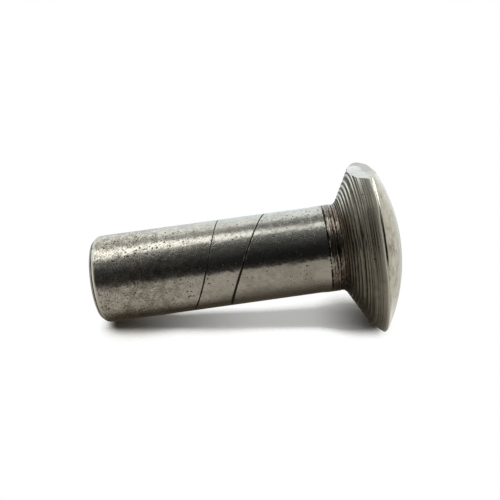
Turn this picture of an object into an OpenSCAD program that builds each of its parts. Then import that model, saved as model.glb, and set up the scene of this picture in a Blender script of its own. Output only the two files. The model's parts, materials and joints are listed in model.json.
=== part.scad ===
// Turned pivot pin: a plain shank with a broad, domed head, made from one piece of steel.
// The pin stands on its tail. The origin is the centre of the tail's end face, and Z runs up to the head.
// Lengths are millimetres and angles are degrees.

/* [Shank] */
// Diameter of the shank
shank_d = 12; // [8:0.5:16]
// Length of the shank, from the tail end to the start of the fillet under the head
shank_l = 32.4; // [24:0.2:60]
// Chamfer on the tail's edge, measured along the radius
tail_chamfer = 0.7; // [0.3:0.1:1.5]

/* [Head] */
// Diameter of the head at its rim
head_d = 25; // [21:0.5:32]
// Radius of the fillet between the shank and the coned underside
neck_fillet = 2; // [1:0.1:2.4]
// Angle between the coned underside and the axis
cone_angle = 61.5; // [50:0.5:72]
// Width of the bevel outside the cone, measured along the radius
bevel_w = 1.5; // [0.6:0.1:2]
// Angle between the bevel and the axis
bevel_angle = 46; // [35:1:55]
// Height of the narrow straight land at the rim
rim_land = 0.3; // [0.1:0.05:1]
// Height of the dome above the rim's land
dome_h = 3.8; // [2:0.1:6]

/* [Ground flat] */
// How far the flat is ground in from the rim
flat_depth = 2.25; // [1:0.05:3]
// Direction that the flat faces, about the axis
flat_turn = 225; // [0:5:355]

/* [Tool marks] */
// Nose radius of the tool that turned the underside
nose_r = 0.28; // [0.2:0.01:0.4]
// Depth of the deepest mark on the underside
mark_depth = 0.15; // [0.05:0.01:0.2]
// Nose radius of the tool that left the rings round the neck
ring_nose_r = 0.14; // [0.1:0.01:0.2]
// Depth of the deepest ring round the neck
ring_depth = 0.12; // [0.05:0.01:0.16]

/* [Score marks] */
// Width of the score marks on the shank
score_w = 0.24; // [0.1:0.02:0.5]
// Depth of the score marks on the shank
score_depth = 0.08; // [0.04:0.01:0.15]

/* [Hidden] */
$fn = 96;

shank_r = shank_d / 2;
rim_r = head_d / 2;

// The fillet's centre stands one fillet radius off the shank, and its arc runs out tangent to the cone.
fillet_centre = [shank_r + neck_fillet, shank_l];
cone_start = fillet_centre + neck_fillet * [-cos(cone_angle), sin(cone_angle)];
knee = [rim_r - bevel_w, cone_start.y + (rim_r - bevel_w - cone_start.x) / tan(cone_angle)];
bevel_end = [rim_r, knee.y + bevel_w / tan(bevel_angle)];
rim_z = bevel_end.y + rim_land;
dome_r = (rim_r^2 + dome_h^2) / (2 * dome_h);
pin_l = rim_z + dome_h;
flat_reach = rim_r - flat_depth;

// Marks on the underside: [share of the way from the cone's start to the knee, share of the depth].
// They are uneven in pitch and depth, as a hand-fed tool leaves them.
cone_marks = [
    [0.03, 0.45], [0.13, 0.35], [0.25, 0.6], [0.39, 0.6], [0.52, 0.3],
    [0.62, 1.0], [0.77, 0.55], [0.88, 0.4], [0.97, 0.5]
];
// Marks on the bevel, from the knee to the land
bevel_marks = [[0.22, 0.35], [0.4, 0.2], [0.58, 0.25]];
// Rings round the neck: [height above the start of the fillet, share of the depth]
shank_rings = [[-0.75, 1.0], [-0.2, 0.3]];
// Rings inside the fillet: [angle round the arc from the shank, share of the depth]
fillet_rings = [[14, 0.9], [29, 0.55], [43, 0.3]];

// Score marks: [share of the shank's length at mid-height, slant from square, direction of the high side]
scores = [[0.46, 21.5, 222], [0.645, 26.5, 200]];
// Direction of the middle of the scored side, about the axis
score_side = 292;

// One round-nosed cut, sunk to the given depth below a surface point whose outward normal is given.
module tool_cut(point, normal, nose, depth) {
    translate(point + (nose - depth) * normal) circle(r = nose);
}

// Half-section of the blank: the fillet is still filled to its chord, and the rim's wall runs on up past
// the land, for the dome to be cut from.
module blank_outline() {
    polygon([
        [0, 0], [shank_r - tail_chamfer, 0], [shank_r, tail_chamfer], [shank_r, shank_l],
        cone_start, knee, bevel_end, [rim_r, pin_l + dome_h], [0, pin_l + dome_h]
    ]);
}

// The cuts left by turning the neck and the underside
module turned_marks() {
    for (m = cone_marks)
        tool_cut(cone_start + m[0] * (knee - cone_start), [cos(cone_angle), -sin(cone_angle)],
                 nose_r, m[1] * mark_depth);
    for (m = bevel_marks)
        tool_cut(knee + m[0] * (bevel_end - knee), [cos(bevel_angle), -sin(bevel_angle)],
                 nose_r, m[1] * mark_depth);
    for (g = shank_rings)
        tool_cut([shank_r, shank_l + g[0]], [1, 0], ring_nose_r, g[1] * ring_depth);
    for (g = fillet_rings)
        tool_cut(fillet_centre + neck_fillet * [-cos(g[0]), sin(g[0])], [cos(g[0]), -sin(g[0])],
                 ring_nose_r, g[1] * ring_depth);
}

// The blank turned about the axis, with the fillet and all marks of the tool
module turned_blank() {
    rotate_extrude()
        difference() {
            blank_outline();
            translate(fillet_centre) circle(r = neck_fillet);
            turned_marks();
        }
}

// Space round the dome, from the knee up. The sphere lies on its side, which keeps its poles off the dome.
module dome_cut() {
    difference() {
        translate([0, 0, knee.y])
            cylinder(r = head_d, h = pin_l);
        translate([0, 0, pin_l - dome_r])
            rotate([90, 0, 0])
                sphere(r = dome_r);
    }
}

// Space cleared by grinding the head's rim flat on one side
module flat_cut() {
    rotate(flat_turn)
        translate([flat_reach, -rim_r, shank_l])
            cube([rim_r, head_d, pin_l]);
}

// One shallow score that runs aslant round the scored side of the shank
module score_cut(share, slant, high_side) {
    intersection() {
        translate([0, 0, share * shank_l])
            rotate(high_side)
                rotate([0, -slant, 0])
                    cube([2 * shank_d, 2 * shank_d, score_w], center = true);
        rotate_extrude()
            translate([shank_r - score_depth, 0])
                square([2 * score_depth, shank_l]);
        rotate(score_side)
            translate([0.2 * shank_r, -shank_d, 0])
                cube([shank_d, 2 * shank_d, shank_l]);
    }
}

module pivot_pin() {
    color("#8c8880")
        difference() {
            turned_blank();
            dome_cut();
            flat_cut();
            for (s = scores) score_cut(s[0], s[1], s[2]);
        }
}

pivot_pin();
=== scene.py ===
import json
import math

import bmesh
import bpy
import numpy as np
from mathutils import Matrix, Vector, noise


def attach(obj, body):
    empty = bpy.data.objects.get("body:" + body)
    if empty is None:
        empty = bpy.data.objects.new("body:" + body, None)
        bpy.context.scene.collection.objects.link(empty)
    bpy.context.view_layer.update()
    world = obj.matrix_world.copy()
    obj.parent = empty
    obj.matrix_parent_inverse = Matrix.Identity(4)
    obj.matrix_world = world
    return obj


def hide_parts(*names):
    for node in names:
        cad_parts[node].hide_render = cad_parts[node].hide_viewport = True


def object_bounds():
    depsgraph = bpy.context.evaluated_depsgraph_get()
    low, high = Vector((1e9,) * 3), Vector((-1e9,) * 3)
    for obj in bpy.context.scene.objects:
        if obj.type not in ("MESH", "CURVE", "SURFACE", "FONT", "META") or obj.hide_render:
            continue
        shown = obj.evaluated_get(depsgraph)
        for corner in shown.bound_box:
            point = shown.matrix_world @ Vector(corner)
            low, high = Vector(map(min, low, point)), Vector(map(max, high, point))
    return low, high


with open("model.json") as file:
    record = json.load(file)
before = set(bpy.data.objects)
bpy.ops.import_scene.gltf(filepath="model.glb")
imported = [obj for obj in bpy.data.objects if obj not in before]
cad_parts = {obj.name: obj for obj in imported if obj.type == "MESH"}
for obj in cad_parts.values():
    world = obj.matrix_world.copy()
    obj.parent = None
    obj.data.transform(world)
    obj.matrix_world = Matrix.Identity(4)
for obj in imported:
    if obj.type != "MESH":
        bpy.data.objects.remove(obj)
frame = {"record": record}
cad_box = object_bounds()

# A worn pivot pin, turned from one piece of steel, lying on a pale bench.
# The pin's own frame has Z along its axis, from the tail at 0 up to the domed head. Sizes are millimetres
# and angles are degrees, until a mesh or a lamp is made in metres.

MM = 0.001
shank_mount = next(m for m in frame["record"]["mounts"] if m["name"] == "shank")
SHANK_R = shank_mount["dims"]["r_mm"]
RIM_R = cad_box[1].x / MM
PIN_L = cad_box[1].z / MM

# Driving sizes of the turned form
TAIL_CHAMFER = 0.7
SHANK_L = 33.0
NECK_FILLET = 1.0
CONE_ANGLE = 61.5
BEVEL_W = 1.5
BEVEL_ANGLE = 42.5
RIM_LAND = 0.15

# How far the faced end is dished, and how far the dome's rings are cut below its full height
FACE_DISH = 0.03
DOME_CUT = 0.012

# How far wear takes the tail's edge and the wall beside it, and how far the neck swells between its rings
EDGE_WEAR = 0.03
WALL_WEAR = 0.05
NECK_SWELL = 0.07

# The flat ground on the rim: its depth at the rim, the side that it faces, and how far it leans out as it
# rises. Its edge by the dome is broken at a height above the rim, by a cut that leans in.
FLAT_DEPTH = 2.15
FLAT_TURN = 225.5
FLAT_TILT = 5.0
FLAT_EDGE = 0.84
FLAT_EDGE_LEAN = 37.0

# The marked profile starts this far below the fillet, and the wall starts at the top of the chamfer
NECK_RUN = 3.6
CHAMFER_TOP = TAIL_CHAMFER + 0.15

# The side of the pin that faces the camera, about its axis
FRONT = -60.5
# The side of the pin that lies on the bench
DOWN_SIDE = 49.5


def unit(degrees):
    """A unit vector in the half-section, this far round from the axis."""
    return np.array([math.sin(math.radians(degrees)), math.cos(math.radians(degrees))])


FILLET_CENTRE = np.array([SHANK_R + NECK_FILLET, SHANK_L])
CONE_START = FILLET_CENTRE + NECK_FILLET * np.array([-1, 1]) * unit(90 - CONE_ANGLE)
CONE_L = (RIM_R - BEVEL_W - CONE_START[0]) / math.sin(math.radians(CONE_ANGLE))
KNEE = CONE_START + CONE_L * unit(CONE_ANGLE)
BEVEL_L = BEVEL_W / math.sin(math.radians(BEVEL_ANGLE))
BEVEL_END = KNEE + BEVEL_L * unit(BEVEL_ANGLE)
FILLET_L = NECK_FILLET * math.radians(CONE_ANGLE)
RIM_Z = BEVEL_END[1] + RIM_LAND
DOME_H = PIN_L - RIM_Z
DOME_R = (RIM_R**2 + DOME_H**2) / (2 * DOME_H)

# Where each stretch of the marked profile starts, measured along it
FILLET_AT = NECK_RUN
CONE_AT = FILLET_AT + FILLET_L
KNEE_AT = CONE_AT + CONE_L
BEVEL_END_AT = KNEE_AT + BEVEL_L

# Where the neck's own finish starts and ends on the marked profile
NECK_AT = 2.15
NECK_END_AT = CONE_AT + 0.2

# Columns of points round the axis, and the step between rows on the marked profile
COLUMNS = 240
MARK_STEP = 0.05
around = np.arange(COLUMNS) * 2 * math.pi / COLUMNS

# Edges of the pin that turn more than this stay sharp
SHARP_TURN = 32

# Finishes, in the order of the pin's material slots
FINISHES = ["tail", "shank", "neck", "underside", "dome", "flat"]

# Worn edge of the tail: [inset from the wall, height, strength of the dark line there]
TAIL_EDGE = [(0.7, 0.0, 0.3), (0.62, 0.03, 0.0), (0.42, 0.24, 0.0), (0.37, 0.29, 1.0), (0.33, 0.4, 1.0),
             (0.23, 0.44, 0.0), (0.12, 0.57, 0.0), (0.06, 0.68, 0.0), (0.03, 0.78, 0.0)]

# Heights of the rows on the worn wall above the tail's edge
WORN_ROWS = (0.9, 1.05, 1.25, 1.5, 1.8, 2.2)

# Rows on the plain stretches of the shank: below each score mark, and above the last
PLAIN_ROWS = (14, 9, 12)

# Score marks on the shank: mid height, then swing and crest direction of its slant and of its wander,
# half width and depth
SCORES = [(14.94, 2.6, -139.2, 0.32, -22.4, 0.1, 0.05), (20.99, 3.2, -162.9, 0.22, -32.2, 0.155, 0.08)]

# Section across a score mark, out to its reach: [share of its half width, share of its depth]
SCORE_REACH = 1.6
SCORE_SECTION = [(-SCORE_REACH, 0.0), (-1.25, 0.0), (-1.1, 0.0), (-0.55, 0.6), (0.0, 1.0), (0.55, 0.6),
                 (1.1, 0.0), (1.25, 0.0)]

# Grooves that the tool left: [place along the marked profile, half width, depth]
NECK_RINGS = [(2.3, 0.13, 0.11), (2.75, 0.05, 0.02), (2.95, 0.05, 0.02), (3.14, 0.08, 0.06),
              (3.54, 0.12, 0.09), (3.8, 0.05, 0.03), (4.14, 0.1, 0.07), (4.42, 0.07, 0.03)]
CONE_MARKS = [(4.74, 0.12, 0.04), (5.22, 0.2, 0.07), (5.8, 0.21, 0.08), (6.43, 0.26, 0.11),
              (7.12, 0.27, 0.11), (7.92, 0.42, 0.16), (8.68, 0.2, 0.09), (9.26, 0.25, 0.08),
              (9.66, 0.13, 0.05)]
BEVEL_MARKS = [(10.27, 0.13, 0.05), (10.62, 0.07, 0.03), (10.98, 0.08, 0.03), (11.4, 0.06, 0.015)]

# Where the worn rim hangs low: [angle from the camera's side, drop, cosines where it starts and is full]
RIM_DROOPS = [(-65, 0.23, 0.72, 1), (-110, 0.34, 0.8, 1), (2, 0.1, 0.93, 0.99)]

# The bake sheet, this long on a side. The wall is unrolled from its corner to its width, each end is a disc
# about its centre, and the flat has a centre of its own. Most of it is laid down a little small.
BAKE_SHEET = 64.0
BAKE_SCALE = 0.98
BAKE_WALL = (0.3, 0.5)
BAKE_WALL_W = 37.5
BAKE_DISCS = {"tail": ((8, 44), 1.0), "underside": ((51, 13), BAKE_SCALE), "dome": ((51, 39), BAKE_SCALE)}
BAKE_FLAT = (26, 12)


def ease(x, low, high):
    """A smooth step from 0 at low to 1 at high."""
    t = np.clip((x - low) / (high - low), 0, 1)
    return t * t * (3 - 2 * t)


def wander(seed, pace):
    """A smooth random run of values round the axis, about -1 to 1, that closes on itself."""
    spots = [Vector((pace * math.cos(a), pace * math.sin(a), 7.3 * seed)) for a in around]
    return np.array([noise.noise(spot) for spot in spots]) * 1.6


def ring_noise(step, pace):
    """Noise along one turned ring, which runs on smoothly round the axis and to the rings beside it."""
    spots = [Vector((step, pace * math.cos(a), pace * math.sin(a))) for a in around]
    return np.array([noise.noise(spot) for spot in spots])


def marked_profile(place):
    """A point of the neck, fillet, cone or bevel, and its outward normal, at a distance along the profile."""
    if place < FILLET_AT:
        return np.array([SHANK_R, SHANK_L - NECK_RUN + place]), np.array([1.0, 0.0])
    if place < CONE_AT:
        turn = math.degrees((place - FILLET_AT) / NECK_FILLET)
        normal = np.array([1, -1]) * unit(90 - turn)
        return FILLET_CENTRE - NECK_FILLET * normal, normal
    if place < KNEE_AT:
        return CONE_START + (place - CONE_AT) * unit(CONE_ANGLE), np.array([1, -1]) * unit(90 - CONE_ANGLE)
    return KNEE + (place - KNEE_AT) * unit(BEVEL_ANGLE), np.array([1, -1]) * unit(90 - BEVEL_ANGLE)


def finish_at(place):
    """The finish of the marked profile at a distance along it."""
    if place < NECK_AT:
        return "shank"
    if place < NECK_END_AT:
        return "neck"
    return "underside"


class Turning:
    """Rows of points round the axis, gathered from the tail's centre to the crown of the dome."""

    def __init__(self):
        self.rho = []
        self.z = []
        self.groove = []
        self.place = []
        self.finish = []

    def row(self, finish, rho, z, groove=0.0, place=0.0):
        full = np.zeros(COLUMNS)
        self.rho.append(full + rho)
        self.z.append(full + z)
        self.groove.append(full + groove)
        self.place.append(full + place)
        self.finish.append(FINISHES.index(finish))


def turn_tail(pin):
    """The faced end and the worn, two-step chamfer round it."""
    face_r = SHANK_R - TAIL_CHAMFER
    for share in (0.15, 0.35, 0.55, 0.75, 0.9, 0.97):
        pin.row("tail", share * face_r, FACE_DISH * (1 - share**2))
    wear = EDGE_WEAR * wander(1, 2.0) + 0.5 * EDGE_WEAR * wander(2, 9.0)
    line = np.clip(0.9 + 0.5 * wander(4, 6.0), 0, 1)
    for inset, height, dark in TAIL_EDGE:
        rho = SHANK_R - inset - EDGE_WEAR - wear * ease(height, 0, 0.3)
        pin.row("tail", rho, height, dark * line, height)


def plain_wall(pin, low, high, rows):
    """Even rows of the plain wall, from a low line to just short of a high one."""
    for k in range(rows):
        pin.row("shank", SHANK_R, low + (high - low) * k / rows)


def score_line(mid, slant, crest, sway, sway_crest):
    """Height of a score mark all round the shank."""
    return (mid + slant * np.cos(around - math.radians(crest))
            + sway * np.cos(2 * (around - math.radians(sway_crest))))


def turn_shank(pin):
    """The plain wall, with rows that follow the two score marks and sink into them."""
    low = np.full(COLUMNS, CHAMFER_TOP)
    for height in WORN_ROWS:
        pin.row("shank", SHANK_R - WALL_WEAR * (1 - ease(height, 0.3, 2.4)), low)
        low = np.full(COLUMNS, height)
    shown = ease(np.cos(around - math.radians(FRONT - 8)), 0.08, 0.3)
    for number, (mid, slant, crest, sway, sway_crest, half_w, depth) in enumerate(SCORES):
        line = score_line(mid, slant, crest, sway, sway_crest)
        half = half_w * (1 + 0.25 * np.sin(around - math.radians(FRONT)) + 0.2 * wander(20 + number, 6.0))
        deep = shown * (1 + 0.25 * wander(30 + number, 8.0))
        plain_wall(pin, low, line - SCORE_REACH * half, PLAIN_ROWS[number])
        for across, sunk in SCORE_SECTION:
            groove = sunk * np.clip(deep, 0, 1)
            pin.row("shank", SHANK_R - depth * sunk * deep, line + across * half, groove)
        low = line + SCORE_REACH * half
    plain_wall(pin, low, np.full(COLUMNS, SHANK_L - NECK_RUN), PLAIN_ROWS[-1])


def tool_cuts():
    """Each groove of the tool: its line round the axis, half width, depth, plain depth and burr."""
    cuts = []
    broken_side = 0.5 + 0.7 * ease(np.sin(around - math.radians(FRONT)), -0.1, 0.5)
    for number, (place, half_w, depth) in enumerate(NECK_RINGS + CONE_MARKS + BEVEL_MARKS):
        if place < NECK_END_AT:
            line = place + (0.025 * wander(40 + number, 1.1) + 0.012 * wander(130 + number, 12.0))
            broken = broken_side * wander(100 + number, 15.0)
            burr = 0.3 * depth * np.clip(wander(160 + number, 15.0), 0, 1)
        else:
            line = place + 0.05 * wander(40 + number, 1.1)
            broken = 0.25 * wander(100 + number, 9.0)
            burr = np.zeros(COLUMNS)
        strength = np.clip(1 + 0.45 * wander(70 + number, 2.2) + broken, 0.05, 1.6)
        cuts.append((line, half_w, depth * strength, depth, burr))
    return cuts


def rim_droop():
    """How far the worn rim hangs below its plain height, round the axis."""
    droop = np.zeros(COLUMNS)
    for angle, drop, start, full in RIM_DROOPS:
        droop = droop + drop * ease(np.cos(around - math.radians(FRONT + angle)), start, full)
    return droop


def turn_underside(pin, droop):
    """The ringed neck, the fillet, the ridged cone and the bevel out to the rim."""
    cuts = tool_cuts()
    for place in np.arange(0, BEVEL_END_AT - 0.04, MARK_STEP):
        point, normal = marked_profile(place)
        sunk = np.zeros(COLUMNS)
        groove = np.zeros(COLUMNS)
        raised = np.zeros(COLUMNS)
        for line, half_w, depth, plain_depth, burr in cuts:
            form = np.clip(1 - ((place - line) / half_w) ** 2, 0, 1)
            sunk = np.maximum(sunk, depth * form)
            groove = np.maximum(groove, form * np.clip(depth / plain_depth, 0, 1))
            raised = raised + burr * np.clip(1 - ((place - line + 1.5 * half_w) / half_w) ** 2, 0, 1)
        rough = 0.012 if place > FILLET_AT else 0.006
        sunk = sunk - rough * ring_noise(6.5 * place, 2.4) + 0.6 * rough - raised
        sunk = sunk - NECK_SWELL * ease(place, 0.6, 2.0) * (1 - ease(place, 3.2, 4.0))
        rho = point[0] - normal[0] * sunk
        z = point[1] - normal[1] * sunk - droop * ease(place, KNEE_AT, BEVEL_END_AT)
        pin.row(finish_at(place), rho, z, groove, place)


def turn_rim(pin, droop):
    """The narrow land at the rim, with its corners worn round."""
    nick = 0.006 * (1 + wander(3, 14.0))
    pin.row("underside", RIM_R - 0.035 - nick, BEVEL_END[1] - droop - 0.015, place=BEVEL_END_AT)
    for inset, height in ((0.006, 0.0), (0.0, 0.04), (0.0, RIM_LAND - 0.04), (0.012, RIM_LAND - 0.005)):
        pin.row("dome", RIM_R - inset - nick, BEVEL_END[1] + height - droop * (1 - height / RIM_LAND))


def turn_dome(pin):
    """The dome, with the faint rings that the tool left on it."""
    centre = PIN_L - DOME_R
    near_rim = np.arange(RIM_R - 0.08, 8, -0.16)
    to_crown = np.arange(8, 0.3, -0.32)
    for rho in np.concatenate([near_rim, to_crown]):
        height = math.sqrt(DOME_R**2 - rho**2)
        rings = DOME_CUT * (1 + ring_noise(2.6 * rho, 0.9)) * ease(RIM_R - rho, 0, 0.5)
        pin.row("dome", rho, centre + height - rings)


def face_corners(rows):
    """The row and column of every face's corners. The row past the last holds the middle of each end."""
    corners = []
    for i in range(rows - 1):
        for j in range(COLUMNS):
            corners.append(((i, j), (i, j + 1), (i + 1, j + 1), (i + 1, j)))
    for j in range(COLUMNS):
        corners.append(((rows, 0), (0, j + 1), (0, j)))
        corners.append(((rows, 1), (rows - 1, j), (rows - 1, j + 1)))
    return corners


def bake_place(finish, rho, z, angle, turn):
    """Where a point of the wall or of an end goes on the bake sheet."""
    if finish in ("shank", "neck"):
        across = BAKE_WALL[0] + BAKE_WALL_W * turn
        up = BAKE_WALL[1] + z * BAKE_SCALE
        return across / BAKE_SHEET, up / BAKE_SHEET
    centre, scale = BAKE_DISCS[finish]
    if finish == "tail":
        rho = rho + 0.4 * z
    x = centre[0] + scale * rho * math.cos(angle)
    y = centre[1] + scale * rho * math.sin(angle)
    return x / BAKE_SHEET, y / BAKE_SHEET


def lay_bake_sheet(mesh, corners, finishes, rho, z):
    """Unwraps the turned pin onto its bake sheet."""
    spots = []
    for finish, corner in zip(finishes, corners):
        for i, j in corner:
            if i == len(rho):
                spots.extend(bake_place(FINISHES[finish], 0.0, 0.0, 0.0, 0.0))
                continue
            k = j % COLUMNS
            spots.extend(bake_place(FINISHES[finish], rho[i, k], z[i, k], around[k], j / COLUMNS))
    mesh.uv_layers.new(name="OFBake").data.foreach_set("uv", spots)


def make_pin():
    """Turns the pin's rows into one closed mesh and grinds the flat on its rim."""
    pin = Turning()
    droop = rim_droop()
    turn_tail(pin)
    turn_shank(pin)
    turn_underside(pin, droop)
    turn_rim(pin, droop)
    turn_dome(pin)

    rho = np.array(pin.rho)
    z = np.array(pin.z)
    points = np.stack([rho * np.cos(around), rho * np.sin(around), z], axis=2).reshape(-1, 3)
    points = np.vstack([points, [[0, 0, FACE_DISH], [0, 0, PIN_L - DOME_CUT]]]) * MM
    corners = face_corners(len(rho))
    faces = [[i * COLUMNS + j % COLUMNS for i, j in corner] for corner in corners]
    finishes = [pin.finish[corner[1][0]] for corner in corners]

    mesh = bpy.data.meshes.new("turned_pin")
    mesh.from_pydata(points.tolist(), [], faces)
    mesh.polygons.foreach_set("material_index", finishes)
    for name, values in (("groove", pin.groove), ("place", pin.place)):
        attribute = mesh.attributes.new(name, "FLOAT", "POINT")
        attribute.data.foreach_set("value", np.append(np.array(values).ravel(), [0, 0]))
    lay_bake_sheet(mesh, corners, finishes, rho, z)
    grind_flat(mesh)
    piece = bpy.data.objects.new("turned_pin", mesh)
    bpy.context.collection.objects.link(piece)
    return piece


def grind_flat(mesh):
    """Grinds the flat on the head's rim, breaks its edge by the dome, and marks the edges that stay sharp."""
    turn = math.radians(FLAT_TURN)
    out = Vector((math.cos(turn), math.sin(turn), 0))
    side = Vector((-out.y, out.x, 0))
    axis = Vector((0, 0, 1))
    reach = RIM_R - FLAT_DEPTH
    rise = Matrix.Rotation(math.radians(FLAT_TILT), 3, side) @ axis
    brink = out * reach + axis * RIM_Z + rise * FLAT_EDGE
    work = bmesh.new()
    work.from_mesh(mesh)
    for lean, skew in ((-FLAT_TILT, 0.0), (FLAT_EDGE_LEAN, 0.02)):
        away = Matrix.Rotation(math.radians(-lean), 3, side) @ out
        away = (away + side * skew).normalized()
        everything = work.verts[:] + work.edges[:] + work.faces[:]
        cut = bmesh.ops.bisect_plane(work, geom=everything, plane_co=brink * MM, plane_no=away,
                                     clear_outer=True)
        lip = [e for e in cut["geom_cut"] if isinstance(e, bmesh.types.BMEdge)]
        ground = bmesh.ops.triangle_fill(work, edges=lip, use_beauty=True, normal=away)["geom"]
        sheet = work.loops.layers.uv["OFBake"]
        for face in ground:
            if not isinstance(face, bmesh.types.BMFace):
                continue
            face.material_index = FINISHES.index("flat")
            for loop in face.loops:
                spot = loop.vert.co / MM
                across = BAKE_FLAT[0] + spot.dot(side)
                up = BAKE_FLAT[1] + spot.z - 0.5 * (spot.dot(out) - reach)
                loop[sheet].uv = (across / BAKE_SHEET, up / BAKE_SHEET)
    for face in work.faces:
        face.smooth = True
    for edge in work.edges:
        if len(edge.link_faces) == 2 and edge.calc_face_angle() > math.radians(SHARP_TURN):
            edge.smooth = False
    work.to_mesh(mesh)
    work.free()


class Wire:
    """A value in a node tree, with the sums that the finishes need."""

    def __init__(self, nodes, socket):
        self.nodes = nodes
        self.socket = socket

    def maths(self, operation, *terms):
        node = self.nodes.node("ShaderNodeMath", {"operation": operation}, *terms)
        return Wire(self.nodes, node.outputs[0])

    def __add__(self, other):
        return self.maths("ADD", self, other)

    def __radd__(self, other):
        return self.maths("ADD", other, self)

    def __sub__(self, other):
        return self.maths("SUBTRACT", self, other)

    def __rsub__(self, other):
        return self.maths("SUBTRACT", other, self)

    def __mul__(self, other):
        return self.maths("MULTIPLY", self, other)

    def __rmul__(self, other):
        return self.maths("MULTIPLY", other, self)

    def __truediv__(self, other):
        return self.maths("DIVIDE", self, other)

    def __pow__(self, other):
        return self.maths("POWER", self, other)

    def over(self, other):
        """The greater of two values."""
        return self.maths("MAXIMUM", self, other)

    def under(self, other):
        """The lesser of two values."""
        return self.maths("MINIMUM", self, other)

    def between(self, low, high, start=0.0, end=1.0):
        """Maps low..high to start..end with eased ends, held outside that range."""
        settings = {"interpolation_type": "SMOOTHSTEP"}
        node = self.nodes.node("ShaderNodeMapRange", settings, self, low, high, start, end)
        return Wire(self.nodes, node.outputs[0])


class Nodes:
    """A node tree, and the one method that its nodes come from."""

    def __init__(self, tree):
        self.tree = tree
        tree.nodes.clear()

    def node(self, kind, settings=None, *inputs, **named):
        """A node of a kind, with its settings made first, and then the values or links of its sockets."""
        node = self.tree.nodes.new(kind)
        for key, value in (settings or {}).items():
            setattr(node, key, value)
        for key, value in [*enumerate(inputs), *named.items()]:
            self.feed(node.inputs[key], value)
        return node

    def feed(self, socket, value):
        """Links a value to a socket, or sets it there. Colours are three numbers, and opaque."""
        if isinstance(value, Wire):
            value = value.socket
        if isinstance(value, bpy.types.NodeSocket):
            self.tree.links.new(value, socket)
        elif socket.type == "RGBA":
            socket.default_value = (*value, 1)
        else:
            socket.default_value = value


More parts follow.
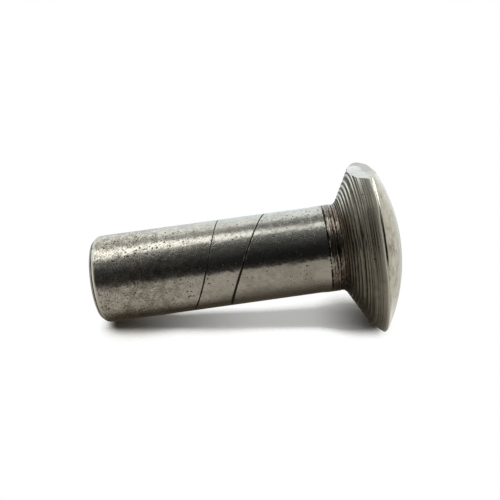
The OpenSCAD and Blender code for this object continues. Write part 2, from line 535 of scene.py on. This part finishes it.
class Finish(Nodes):
    """One surface finish: a material, and the masks and colours that its node tree is written from."""

    # A Mix node's two colours, and its mixed colour, among its sockets
    FIRST_COLOUR = 6
    SECOND_COLOUR = 7
    MIXED_COLOUR = 2

    def __init__(self, name):
        self.material = bpy.data.materials.new(name)
        self.material.use_nodes = True
        super().__init__(self.material.node_tree)
        metres = self.node("ShaderNodeTexCoord").outputs["Object"]
        scaled = self.node("ShaderNodeVectorMath", {"operation": "SCALE"}, Vector=metres, Scale=1 / MM)
        self.place = scaled.outputs[0]
        split = self.node("ShaderNodeSeparateXYZ", {}, self.place)
        self.x, self.y, self.z = (Wire(self, split.outputs[k]) for k in range(3))

    def vector(self, x, y, z):
        return self.node("ShaderNodeCombineXYZ", {}, x, y, z).outputs[0]

    def attribute(self, name):
        return Wire(self, self.node("ShaderNodeAttribute", {"attribute_name": name}).outputs["Fac"])

    def backfacing(self):
        return Wire(self, self.node("ShaderNodeNewGeometry").outputs["Backfacing"])

    def radius(self):
        """Distance from the axis."""
        return (self.x * self.x + self.y * self.y) ** 0.5

    def side(self, angle):
        """1 on the line of the shank at this angle from the camera's side, and less beyond."""
        turn = math.radians(FRONT + angle)
        return (self.x * math.cos(turn) + self.y * math.sin(turn)) * (1 / SHANK_R)

    def head_side(self, angle, rho):
        """The same as side on the head, where the distance from the axis varies."""
        return self.side(angle) * SHANK_R / rho

    def turn(self):
        """Degrees round the axis from the camera's side."""
        face = math.cos(math.radians(FRONT))
        back = math.sin(math.radians(FRONT))
        turn = self.x.maths("ARCTAN2", self.y * face - self.x * back, self.x * face + self.y * back)
        return turn * math.degrees(1)

    def cloud(self, scale, detail=3.0, roughness=0.55, at=None):
        """Soft noise, about 0 to 1, with its scale in turns a millimetre."""
        node = self.node("ShaderNodeTexNoise", {"noise_dimensions": "3D"}, Vector=at or self.place,
                         Scale=scale, Detail=detail, Roughness=roughness)
        return Wire(self, node.outputs[0])

    def shaken(self, scale, amount):
        """Places pushed about by noise, so that what is drawn there has uneven edges."""
        push = self.node("ShaderNodeTexNoise", {}, Vector=self.place, Scale=scale, Detail=2.0)
        settings = {"operation": "MULTIPLY_ADD"}
        moved = self.node("ShaderNodeVectorMath", settings, push.outputs["Color"], (amount,) * 3, self.place)
        return moved.outputs[0]

    def pit(self, at, z, angle, radius, rho=SHANK_R):
        """One pit or stain at a height, an angle from the camera's side and a distance from the axis."""
        turn = math.radians(FRONT + angle)
        centre = (rho * math.cos(turn), rho * math.sin(turn), z)
        gap = self.node("ShaderNodeVectorMath", {"operation": "DISTANCE"}, at, centre).outputs["Value"]
        return Wire(self, gap).between(radius * 1.15, radius * 0.6)

    def spots(self, scale, size, share, at=None):
        """Small scattered pits: 1 inside a pit, and 0 outside. Only a share of the cells holds one."""
        cell = self.node("ShaderNodeTexVoronoi", {"feature": "F1"}, Vector=at or self.place, Scale=scale)
        distance = Wire(self, cell.outputs["Distance"])
        lot = Wire(self, self.node("ShaderNodeSeparateColor", {}, cell.outputs["Color"]).outputs[0])
        held = lot.between(1 - share, 1.0)
        return (held * size - distance).between(-0.04, 0.06)

    def blend(self, factor, first, second):
        """A second colour laid over a first one by a factor."""
        settings = {"data_type": "RGBA", "blend_type": "MIX", "clamp_factor": True}
        node = self.node("ShaderNodeMix", settings, factor)
        self.feed(node.inputs[self.FIRST_COLOUR], first)
        self.feed(node.inputs[self.SECOND_COLOUR], second)
        return node.outputs[self.MIXED_COLOUR]

    def steel(self, colour, roughness, height, edge=(0.8, 0.79, 0.76)):
        """Closes the finish as bare metal, with its tint at grazing angles. The height is in millimetres."""
        bump = self.node("ShaderNodeBump", {}, Strength=1.0, Distance=MM, Height=height)
        shader = self.node("ShaderNodeBsdfPrincipled", {}, colour, Metallic=1.0, Roughness=roughness,
                           Normal=bump.outputs[0])
        self.feed(shader.inputs["Specular Tint"], edge)
        return self.close(shader)

    def fade(self, clearness, shader):
        """Closes the finish as a shader that gives way to clear, and is always clear from behind."""
        clear = self.node("ShaderNodeBsdfTransparent").outputs[0]
        clearness = self.backfacing().over(clearness)
        return self.close(self.node("ShaderNodeMixShader", {}, clearness, shader.outputs[0], clear))

    def close(self, shader):
        self.node("ShaderNodeOutputMaterial", {}, shader.outputs[0])
        return self.material


# Colours of the steel, from clean to dirty
BRIGHT_STEEL = (0.32, 0.297, 0.25)
STEEL = (0.25, 0.227, 0.184)
DULL_STEEL = (0.168, 0.148, 0.115)
BROWN = (0.07, 0.05, 0.032)
GRIME = (0.018, 0.014, 0.010)

# Colours of the worn wall
WORN_PALE = (0.3, 0.275, 0.226)
WORN_DARK = (0.165, 0.144, 0.111)
WORN_PATCH = (0.13, 0.112, 0.086)
# Painted shade for the wall's lower side by the head
PAINTED_WALL_SHADE = (0.1, 0.083, 0.06)

# Colours of the underside
# Painted highlight on the crests of the turning marks, on the top side
PAINTED_CREST_HIGHLIGHT = (0.54, 0.52, 0.44)
# Painted highlight on the rim's edge, on the camera's side and underneath
PAINTED_EDGE_HIGHLIGHT = (0.42, 0.4, 0.34)
CONE_PALE = (0.136, 0.124, 0.095)
CONE_DARK = (0.096, 0.086, 0.064)
CONE_MOTTLE = (0.07, 0.058, 0.043)
BEVEL_SHADE = (0.06, 0.05, 0.037)
# Grime in the grooves, made much darker on the top side by painted shade
GROOVE_DIRT_AND_SHADE = (0.033, 0.028, 0.02)
# Grime and painted shade on the cone by the neck
FILLET_DIRT_AND_SHADE = (0.03, 0.023, 0.015)

# Colours of the dome
# Painted reflection of the bench on the lower edge of the rim and dome
PAINTED_BENCH_REFLECTION = (0.8, 0.77, 0.68)
DOME_PALE = (0.49, 0.464, 0.37)
DOME_DARK = (0.38, 0.356, 0.278)
DOME_CLOUD = (0.21, 0.178, 0.125)
DOME_SPECK = (0.15, 0.122, 0.083)
DOME_STAIN = (0.14, 0.114, 0.082)

# Colours of the painted highlight on the tail's lip, and of the ground flat
TAIL_LIP_HIGHLIGHT = (0.62, 0.6, 0.54)
GROUND_BRIGHT = (0.46, 0.45, 0.41)
GROUND_PALE = (0.36, 0.35, 0.308)
GROUND_DARK = (0.27, 0.26, 0.226)
GROUND_STAIN = (0.182, 0.163, 0.127)

# Pits that stand out on the shank: [height, angle from the camera's side, radius]
SHANK_PITS = [(5.3, -38, 0.26), (2.1, -39, 0.16), (3.4, -29, 0.15), (4.1, -28, 0.2), (8.7, -40, 0.22),
              (10.3, -31, 0.18), (14.1, -52, 0.2), (13.5, -49, 0.14), (20.4, 37, 0.15), (19.3, 62, 0.24),
              (25.3, -32, 0.16), (28, -31, 0.17), (21.6, -30, 0.12), (22.3, -33, 0.13), (23.4, -31, 0.1),
              (26.5, -30, 0.12), (27.2, -34, 0.12), (23.9, -36, 0.14), (24.1, -31, 0.12), (29.7, -58, 0.14),
              (25.9, -54, 0.12)]
# The places that the pits are drawn at are shaken, which lowers the pits by this much
SHAKEN_DROP = 0.17

# Stains that stand out on the dome, in the same terms
DOME_STAINS = [(39.0, 7, 1.3), (38.85, 9, 0.75), (39.3, 13, 0.45), (38.75, 22, 0.7), (38.6, 3, 0.3),
               (39.6, 0, 0.4), (38.9, 33, 0.5), (38.8, -28, 0.5), (39.45, 24, 0.6), (39.7, 12, 0.5),
               (39.4, -12, 0.4)]


def worn_steel(f, mottle, broad, tail_side):
    """Colour of the worn wall: mottled by the tail, evener toward the head, and darkened with painted shade
    on its lower side by the head.
    """
    even = 0.5 + (mottle.between(0.36, 0.64) - 0.5) * (0.35 + 0.75 * tail_side)
    colour = f.blend(even, WORN_DARK, WORN_PALE)
    # Painted shade: the lower side of the wall near the head, where the head shades it, is darkened
    painted_shade = f.z.between(24.5, 29.5) * f.side(50).between(0.3, 0.95)
    colour = f.blend(painted_shade * 0.5, colour, PAINTED_WALL_SHADE)
    return f.blend(broad.between(0.35, 0.7) * 0.6, colour, BRIGHT_STEEL)


def shank_finish():
    """Satin steel worn by running in its bore: mottled, pitted, with dark score marks."""
    f = Finish("shank_steel")
    broad = f.cloud(0.18, 3.0)
    mottle = f.cloud(1.5, 4.0, 0.6)
    swell = f.cloud(1.1, 1.0)
    patch = f.cloud(0.7, 3.0, 0.6, at=f.shaken(0.8, 1.5))
    grain = f.cloud(5.0, 2.0, 0.6)
    uneven = f.shaken(3.0, 0.35)
    turn = f.turn()
    curve = f.z - 6.7 + 0.055 * turn
    crease = (curve * curve).between(0.16, 0.01) * turn.between(12, 20) * turn.between(58, 48)
    crease = crease * mottle.between(0.4, 0.6)
    tail_side = f.z.between(19.0, 5.0)
    specks = grain.between(0.51, 0.67) * (0.34 + 0.62 * tail_side)
    pitted = f.side(-38).between(0.86, 0.98) * (0.4 + 0.6 * tail_side)
    scuffed = f.side(-60).between(0.88, 0.98) * f.z.between(21, 27)
    pits = f.spots(2.6, 0.36, 0.22, uneven) * broad.between(0.36, 0.56)
    pits = pits.over(f.spots(2.8, 0.48, 0.62, uneven) * pitted)
    pits = pits.over(f.spots(3.4, 0.44, 0.5, uneven) * scuffed)
    for z, angle, radius in SHANK_PITS:
        pits = pits.over(f.pit(uneven, z + SHAKEN_DROP, angle, radius))
    groove = f.attribute("groove")
    colour = worn_steel(f, mottle, broad, tail_side)
    colour = f.blend(patch.between(0.45, 0.62) * (0.12 + 0.33 * tail_side), colour, WORN_PATCH)
    colour = f.blend(specks, colour, BROWN)
    colour = f.blend(crease * 0.6, colour, BROWN)
    colour = f.blend(pits * 0.85, colour, GRIME)
    colour = f.blend(groove.between(0.0, 0.3), colour, GRIME)
    roughness = 0.16 + 0.06 * tail_side + 0.06 * mottle + 0.1 * specks + 0.25 * pits + 0.3 * groove
    height = 0.03 * swell + 0.003 * mottle - 0.008 * pits
    return f.steel(colour, roughness, height)


def neck_finish():
    """The ringed neck: worn steel on the lands, grime in the rings and up into the fillet, and painted shade
    that darkens its lower side under the head.
    """
    f = Finish("neck_steel")
    place = f.attribute("place")
    groove = f.attribute("groove")
    mottle = f.cloud(1.5, 4.0, 0.6)
    swell = f.cloud(1.1, 1.0)
    grain = f.cloud(5.0, 2.0, 0.6)
    lines = f.cloud(1.0, 2.0, 0.6, at=f.vector(place * 6.0, f.x * 1.4, f.y * 1.4))
    low = f.side(62).between(0.75, 1.0)
    high = f.side(-48).between(0.75, 0.92)
    marked = place.between(1.6, 2.5)
    # Grime in the fillet, reaching further down the neck on the lower side, where it is also painted shade
    dirt_and_shade = (place + 0.5 * mottle + 0.5 * low).between(3.9, 4.6)
    colour = worn_steel(f, mottle, f.cloud(0.18, 3.0), 0.0)
    colour = f.blend(marked * mottle.between(0.7, 0.3), colour, DULL_STEEL)
    colour = f.blend(lines.between(0.38, 0.6) * place.between(2.2, 2.7) * 0.85, colour, BROWN)
    # Darker on the lower side under the head, which is painted shade, and darker on the upper side too
    colour = f.blend((1.35 * low + high) * marked * 0.4, colour, BROWN)
    colour = f.blend(grain.between(0.55, 0.7) * (0.25 + 0.2 * marked), colour, BROWN)
    # The fillet's grime, made heavier on the lower side by painted shade, and lighter on the upper side
    colour = f.blend(dirt_and_shade * (0.8 + 0.12 * low - 0.35 * high), colour, BROWN)
    colour = f.blend(dirt_and_shade * mottle.between(0.35, 0.6) * (0.35 + 0.5 * low), colour, GRIME)
    colour = f.blend(groove.between(0.2, 0.7), colour, GRIME)
    roughness = 0.17 + 0.07 * mottle + 0.25 * dirt_and_shade + 0.3 * groove
    height = 0.03 * swell + (0.003 + 0.012 * marked) * mottle + 0.012 * lines * marked
    return f.steel(colour, roughness, height)


def underside_finish():
    """The coned underside, coarsely turned: dull and dirty, with cleaner steel out by the rim. Its top side
    has painted highlights on the crests and painted shade in the grooves, and toward the bench it is lighter,
    a painted reflection of the bench.
    """
    f = Finish("underside_steel")
    place = f.attribute("place")
    groove = f.attribute("groove")
    lines = f.cloud(1.0, 2.0, 0.6, at=f.vector(place * 3.5, f.x * 0.2, f.y * 0.2))
    mottle = f.cloud(1.2, 4.0, 0.6)
    grain = f.cloud(5.0, 2.0, 0.6)
    rho = f.radius()
    # The top side, where the crests carry painted highlights and the grooves painted shade
    lit_top = f.head_side(-90, rho).between(0.45, 0.95)
    sheltered = f.head_side(-25, rho).between(0.75, 1.0)
    under = f.head_side(68, rho).between(0.55, 1.0)
    crest = groove.between(0.6, 0.15) * lit_top * place.between(11.4, 9.6, 0.25, 1.0)
    near_neck = place.between(8.0, 5.2)
    near_rim = place.between(11.0, 11.9)
    # Painted highlight along the rim's edge on the camera's side, and underneath a painted reflection of the
    # bench
    edge = place.between(11.68, 11.82) * f.side(10).between(0.55, 0.9).over(under)
    bevel = place.between(9.7, 10.2) * place.between(11.6, 11.2) * f.head_side(-20, rho).between(0.6, 0.95)
    pits = f.spots(1.6, 0.3, 0.2, f.shaken(3.0, 0.35)) * mottle.between(0.45, 0.6)
    colour = f.blend(lines.between(0.3, 0.7), CONE_DARK, CONE_PALE)
    colour = f.blend(mottle.between(0.45, 0.7) * 0.5, colour, CONE_MOTTLE)
    colour = f.blend(bevel * 0.5, colour, BEVEL_SHADE)
    # Cleaner steel by the rim, lighter still toward the bench as a painted reflection of the bench
    colour = f.blend(near_rim * (0.48 + 0.4 * under), colour, STEEL)
    colour = f.blend(edge * 0.75, colour, PAINTED_EDGE_HIGHLIGHT)
    colour = f.blend(groove.between(0.1, 0.7) * (0.14 + 0.78 * lit_top), colour, GROOVE_DIRT_AND_SHADE)
    # Grime and painted shade on the cone by the neck: heavier on the upper front side, lighter toward the
    # bench
    colour = f.blend(near_neck * (0.62 + 0.3 * sheltered - 0.2 * under), colour, FILLET_DIRT_AND_SHADE)
    colour = f.blend(crest * (0.5 + 0.5 * mottle), colour, PAINTED_CREST_HIGHLIGHT)
    colour = f.blend(pits * 0.8, colour, GRIME)
    roughness = 0.17 + 0.08 * mottle + 0.04 * grain + 0.2 * groove
    height = 0.008 * lines + 0.003 * grain + 0.012 * mottle - 0.02 * pits
    return f.steel(colour, roughness, height, edge=(0.62, 0.61, 0.57))


def dome_finish():
    """The rim's land and the dome, finely turned, with old stains, and a painted reflection of the bench on
    its lower edge.
    """
    f = Finish("dome_steel")
    rho = f.radius()
    rings = f.cloud(1.0, 3.0, 0.6, at=f.vector(rho * 2.2, f.x * 0.1, f.y * 0.1))
    mottle = f.cloud(1.2, 4.0, 0.6)
    stain = f.cloud(0.55, 5.0, 0.7)
    grain = f.cloud(5.0, 2.0, 0.6)
    uneven = f.shaken(2.0, 0.6)
    pits = f.spots(1.4, 0.3, 0.2, f.shaken(3.0, 0.35)) * mottle.between(0.45, 0.6)
    # Painted reflection of the bench: the lower edge of the rim and dome, by the bench, is lightened
    bench_reflection = f.head_side(68, rho).between(0.85, 0.97) * rho.between(11.2, 12.3)
    land = f.z.between(RIM_Z, RIM_Z - 0.06)
    colour = f.blend(rings.between(0.35, 0.7), DOME_DARK, DOME_PALE)
    colour = f.blend(mottle.between(0.45, 0.7) * 0.6, colour, BRIGHT_STEEL)
    colour = f.blend(stain.between(0.48, 0.66) * rho.between(7.0, 11.0, 0.4, 0.8), colour, DOME_CLOUD)
    colour = f.blend(grain.between(0.52, 0.68) * 0.5, colour, DOME_SPECK)
    for z, angle, radius in DOME_STAINS:
        stain_rho = math.sqrt(DOME_R**2 - (z - PIN_L + DOME_R)**2)
        patch = f.pit(uneven, z, angle, radius, stain_rho)
        colour = f.blend(patch * mottle.between(0.25, 0.65) * 0.75, colour, DOME_STAIN)
    colour = f.blend(bench_reflection * 0.7, colour, PAINTED_BENCH_REFLECTION)
    colour = f.blend(pits * 0.6, colour, GRIME)
    roughness = 0.24 + 0.12 * mottle + 0.05 * grain - 0.14 * land
    height = 0.006 * rings + 0.004 * grain + (0.018 - 0.012 * land) * mottle - 0.02 * pits
    return f.steel(colour, roughness, height, edge=(1.0, 1.0, 0.97))


def tail_finish():
    """The faced end, with the rings of the facing cut, a worn chamfer and a painted highlight on the
    chamfer's lip.
    """
    f = Finish("tail_steel")
    rho = f.radius()
    rings = f.cloud(1.0, 3.0, 0.6, at=f.vector(rho * 4.0, f.x * 0.15, f.y * 0.15))
    mottle = f.cloud(1.2, 4.0, 0.6)
    grain = f.cloud(6.0, 2.0, 0.6)
    pits = f.spots(1.3, 0.3, 0.3) * mottle.between(0.4, 0.55)
    place = f.attribute("place")
    # Painted highlight on the lip of the chamfer, on the side toward the camera and a little up
    lip = place.between(0.41, 0.47) * place.between(0.72, 0.6) * f.side(-25).between(0.3, 0.9)
    groove = f.attribute("groove")
    colour = f.blend(rings.between(0.35, 0.7), STEEL, BRIGHT_STEEL)
    colour = f.blend(mottle.between(0.45, 0.7) * 0.5, colour, STEEL)
    colour = f.blend(grain.between(0.55, 0.7) * 0.5, colour, BROWN)
    colour = f.blend(lip * (0.5 + 0.5 * mottle), colour, TAIL_LIP_HIGHLIGHT)
    colour = f.blend(pits * 0.85, colour, GRIME)
    colour = f.blend(groove, colour, GRIME)
    roughness = 0.24 + 0.1 * mottle + 0.05 * grain - 0.08 * lip + 0.2 * groove
    height = 0.012 * rings + 0.003 * grain + 0.015 * mottle - 0.03 * pits
    return f.steel(colour, roughness, height)


def flat_finish():
    """The ground flat, with straight grinding lines and a few stains."""
    f = Finish("ground_steel")
    lines = f.cloud(1.0, 3.0, 0.65, at=f.vector(f.z * 0.25, (f.x - f.y) * 4.0, 0.0))
    mottle = f.cloud(0.7, 4.0, 0.6)
    along = (f.x - f.y) * math.sqrt(0.5)
    stain = (f.z - 0.1 * along.between(-1.0, 4.0) + 1.5 * (mottle - 0.5)).between(37.4, 38.0)
    stain = stain.over(along.between(-3.8, -5.6)) * along.between(6.0, -1.0, 0.35, 1.0)
    colour = f.blend(lines.between(0.3, 0.7), GROUND_DARK, GROUND_PALE)
    colour = f.blend(along.between(-0.5, -3.0) * 0.5, colour, GROUND_BRIGHT)
    colour = f.blend(stain * 0.9, colour, GROUND_STAIN)
    colour = f.blend(mottle.between(0.55, 0.68) * 0.6, colour, DULL_STEEL)
    roughness = 0.24 + 0.15 * mottle
    height = 0.008 * lines + 0.03 * mottle
    return f.steel(colour, roughness, height)


# The bench that the pin lies on: X runs with the pin, from tail to head, Y away from the camera, and Z up.
# The pin touches it at the tail's edge and at the head's rim, so its axis leans.
LEAN = math.atan2(RIM_R - SHANK_R, BEVEL_END[1] - TAIL_CHAMFER)

# The middle of the pin on the bench, and the sizes of the bench's paper and of the shade card that lies on it
BENCH_MIDDLE = (20, 0, 0)
PAPER_AT = (19.3, 0, 0)
CARD_AT = (20, 0, 0.02)
BENCH_W = 80
BENCH_D = 30
PAPER = (0.935, 0.925, 0.865)
SHADE = (0.12, 0.1, 0.075)

# The camera's place on the bench, how it turns, tips down and rolls, and its lens
CAMERA_AT = (15.8, -91.19, 42.56)
CAMERA_TURN = -4.66
CAMERA_TIP = 17.24
CAMERA_ROLL = 3.04
LENS = 50.07
LENS_SHIFT = (-0.0646, -0.0457)

# The light tent arches over the pin. It is dark behind the camera and has a bright strip overhead, which
# widens by the head's rim. Rows from the front edge, over the top, to the back edge: [angle, glow]
TENT_R = 150
TENT_Z = 7
TENT_FAR = [(-5.5, 0.05), (12, 0.05), (30, 0.08), (44, 0.16), (58, 0.32), (70, 0.55), (75, 0.8), (77, 3.0),
            (101, 3.0), (103, 1.1), (113, 1.1), (120, 1.4), (127, 1.7), (150, 1.7), (165, 1.5), (185, 1.1),
            (191, 1.0), (200, 1.0)]
TENT_END = [(-5.5, 0.05), (12, 0.05), (30, 0.08), (44, 0.2), (54, 0.4), (62, 0.7), (68, 1.0), (71, 5.2),
            (103, 5.2), (105, 1.1), (113, 1.1), (120, 1.9), (127, 2.4), (150, 2.2), (165, 1.9), (185, 1.1),
            (191, 1.0), (200, 1.0)]
TENT_TAIL = [(-5.5, 0.05), (12, 0.05), (30, 0.08), (44, 0.16), (58, 0.32), (70, 0.55), (77, 0.8), (79, 5.4),
             (101, 5.4), (103, 1.1), (113, 1.1), (120, 1.9), (127, 2.9), (150, 2.7), (165, 2.3), (185, 1.1),
             (191, 1.0), (200, 1.0)]
TENT_HEAD = [(-5.5, 0.04), (12, 0.02), (30, 0.03), (44, 0.08), (58, 0.16), (72, 0.3), (80, 0.45), (82, 2.0),
             (89, 2.0), (91, 0.36), (112, 0.36), (120, 1.6), (127, 2.9), (150, 2.7), (165, 2.3), (185, 1.1),
             (191, 1.0), (200, 1.0)]
TENT_RIM = [(-5.5, 0.04), (12, 0.02), (30, 0.04), (44, 0.1), (54, 0.2), (60, 0.4), (65, 0.8), (67, 5.5),
            (105, 5.5), (108, 3.6), (113, 2.9), (120, 2.9), (127, 2.7), (150, 2.3), (165, 1.9), (185, 1.4),
            (191, 1.15), (200, 1.0)]

# Stations of the tent along the bench, from beyond the tail to beyond the head: [X, tint, rows]
TENT = [(-300, (0.93, 1.0, 1.07), TENT_FAR), (-140, (0.93, 1.0, 1.07), TENT_FAR),
        (-75, (0.94, 1.0, 1.06), TENT_END), (-45, (0.94, 1.0, 1.07), TENT_TAIL),
        (20, (0.87, 1.0, 1.13), TENT_HEAD), (38, (0.95, 1.0, 1.06), TENT_RIM),
        (145, (0.95, 1.0, 1.06), TENT_RIM)]


def bench_frame():
    """Takes bench millimetres to the pin's frame in metres."""
    turn = math.radians(DOWN_SIDE)
    down = Vector((math.cos(turn), math.sin(turn), 0))
    axis = Vector((0, 0, 1))
    up = axis * math.sin(LEAN) - down * math.cos(LEAN)
    along = axis * math.cos(LEAN) + down * math.sin(LEAN)
    away = up.cross(along)
    place = Matrix((along, away, up)).transposed().to_4x4()
    place.translation = (down * SHANK_R + axis * TAIL_CHAMFER) * MM
    return place


BENCH = bench_frame()


def bench_point(x, y, z):
    return BENCH @ Matrix.Translation(Vector((x, y, z)) * MM)


def facing(point, target):
    """A place on the bench that looks with its -Z at a target, both in bench millimetres."""
    look = (Vector(target) - Vector(point)).to_track_quat("-Z", "Y").to_matrix().to_4x4()
    return bench_point(*point) @ look


def make_camera():
    """The photograph's view: close up, from the front and a little above."""
    camera = bpy.data.objects.new("camera", bpy.data.cameras.new("camera"))
    camera.data.sensor_width = 36
    camera.data.lens = LENS
    camera.data.shift_x = LENS_SHIFT[0]
    camera.data.shift_y = LENS_SHIFT[1]
    camera.data.clip_start = 0.005
    turn = Matrix.Rotation(math.radians(CAMERA_TURN), 4, "Z")
    tip = Matrix.Rotation(math.radians(90 - CAMERA_TIP), 4, "X")
    roll = Matrix.Rotation(math.radians(CAMERA_ROLL), 4, "Z")
    camera.matrix_world = bench_point(*CAMERA_AT) @ turn @ tip @ roll
    bpy.context.collection.objects.link(camera)
    bpy.context.scene.camera = camera


def make_panel(name, place, material):
    """A flat rectangle of the stage that lies on the bench, face up."""
    mesh = bpy.data.meshes.new(name)
    w = BENCH_W / 2 * MM
    d = BENCH_D / 2 * MM
    mesh.from_pydata([(-w, -d, 0), (w, -d, 0), (w, d, 0), (-w, d, 0)], [], [(0, 1, 2, 3)])
    mesh.materials.append(material)
    panel = bpy.data.objects.new(name, mesh)
    panel.matrix_world = bench_point(*place)
    bpy.context.collection.objects.link(panel)
    return panel


def paper_material():
    """Pale bench paper that takes the pin's shadow, seen only from above. It gives way to the white room."""
    f = Finish("bench_paper")
    aside = f.x.maths("ABSOLUTE", f.x)
    beside = (aside - 17.0).over(0.0) * 1.7
    across = f.y - 0.075 * f.x
    front = 1 + 0.3 * f.x.between(-6, 4) * f.x.between(14, 8)
    across = across.under(0.0) * front + across.over(0.0) * (1 - 0.38 * f.x.between(0, 14))
    far = ((beside * beside + across * across) ** 0.5 - 1.8 * aside.between(9, 16)).between(0.8, 5.2)
    far = far.over(0.4 * f.x.between(-18, 4) * f.x.between(18, 8))
    return f.fade(far, f.node("ShaderNodeBsdfDiffuse", {}, PAPER))


def card_material():
    """A dark card under the pin, seen only in reflections and soft at its edges: painted shade that stands
    for the shade between pin and bench.
    """
    f = Finish("shade_card")
    beside = (-17.5 - f.x).over(0.0) + (f.x - 13.0).over(0.0)
    soft = f.x.between(-10, 1)
    far = (beside * beside + f.y * f.y) ** 0.5
    far = (far * (1 - 0.5 * soft) + 1.8 * soft).between(2.5, 8.0).over(0.13 * soft)
    return f.fade(far, f.node("ShaderNodeEmission", {}, SHADE))


def tent_material():
    """The inside of the light tent, which shines as its rows say."""
    f = Finish("light_tent")
    glow = f.node("ShaderNodeAttribute", {"attribute_name": "glow"}).outputs["Color"]
    return f.close(f.node("ShaderNodeEmission", {}, glow))


def only_reflected(stage_object):
    """Hides a stage object from all but reflections."""
    stage_object.visible_camera = False
    stage_object.visible_diffuse = False
    stage_object.visible_shadow = False


def make_tent():
    """The soft light tent, open at both ends."""
    points = []
    glow = []
    for x, tint, rows in TENT:
        for angle, shine in rows:
            turn = math.radians(angle)
            points.append(Vector((x, -TENT_R * math.cos(turn), TENT_Z + TENT_R * math.sin(turn))) * MM)
            glow.extend((shine * tint[0], shine * tint[1], shine * tint[2], 1.0))
    count = len(TENT_TAIL)
    faces = []
    for i in range(len(TENT) - 1):
        for j in range(count - 1):
            k = i * count + j
            faces.append((k, k + 1, k + count + 1, k + count))
    mesh = bpy.data.meshes.new("light_tent")
    mesh.from_pydata(points, [], faces)
    mesh.attributes.new("glow", "FLOAT_COLOR", "POINT").data.foreach_set("color", glow)
    mesh.materials.append(tent_material())
    tent = bpy.data.objects.new("light_tent", mesh)
    tent.matrix_world = BENCH
    only_reflected(tent)
    bpy.context.collection.objects.link(tent)


def make_lamp(name, place, width, depth, radiance):
    """A soft box whose face shines at the given radiance, where 1 is white. It lights the bench only."""
    data = bpy.data.lights.new(name, "AREA")
    data.shape = "RECTANGLE"
    data.size = width * MM
    data.size_y = depth * MM
    data.energy = radiance * math.pi * width * depth * MM * MM
    lamp = bpy.data.objects.new(name, data)
    lamp.matrix_world = place
    lamp.visible_camera = False
    lamp.visible_glossy = False
    bpy.context.collection.objects.link(lamp)


def make_world(fill):
    """White where the camera or a reflection looks past the stage, and a plain fill light elsewhere."""
    world = bpy.data.worlds.new("studio")
    world.use_nodes = True
    bpy.context.scene.world = world
    nodes = Nodes(world.node_tree)
    ray = nodes.node("ShaderNodeLightPath").outputs
    seen = Wire(nodes, ray["Is Camera Ray"])
    for kind in ("Is Glossy Ray", "Is Transmission Ray"):
        seen = seen.over(Wire(nodes, ray[kind]))
    background = nodes.node("ShaderNodeBackground", {}, (1, 1, 1), seen * (1 - fill) + fill)
    nodes.node("ShaderNodeOutputWorld", {}, background.outputs[0])


def make_stage():
    """The bench, the light tent that the steel reflects, and the soft boxes that light the bench."""
    make_panel("bench", PAPER_AT, paper_material())
    make_tent()
    only_reflected(make_panel("shade_card", CARD_AT, card_material()))
    make_lamp("bench_light", facing((20, -33, 200), BENCH_MIDDLE), width=500, depth=170, radiance=3.3)
    make_lamp("back_light", facing((90, 170, 60), BENCH_MIDDLE), width=300, depth=90, radiance=0.8)
    make_world(0.03)
    bpy.context.scene.view_settings.view_transform = "Standard"


make_camera()
make_stage()
turned_pin = make_pin()
for make_finish in (tail_finish, shank_finish, neck_finish, underside_finish, dome_finish, flat_finish):
    turned_pin.data.materials.append(make_finish())
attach(turned_pin, "root")
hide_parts("pivot_pin")
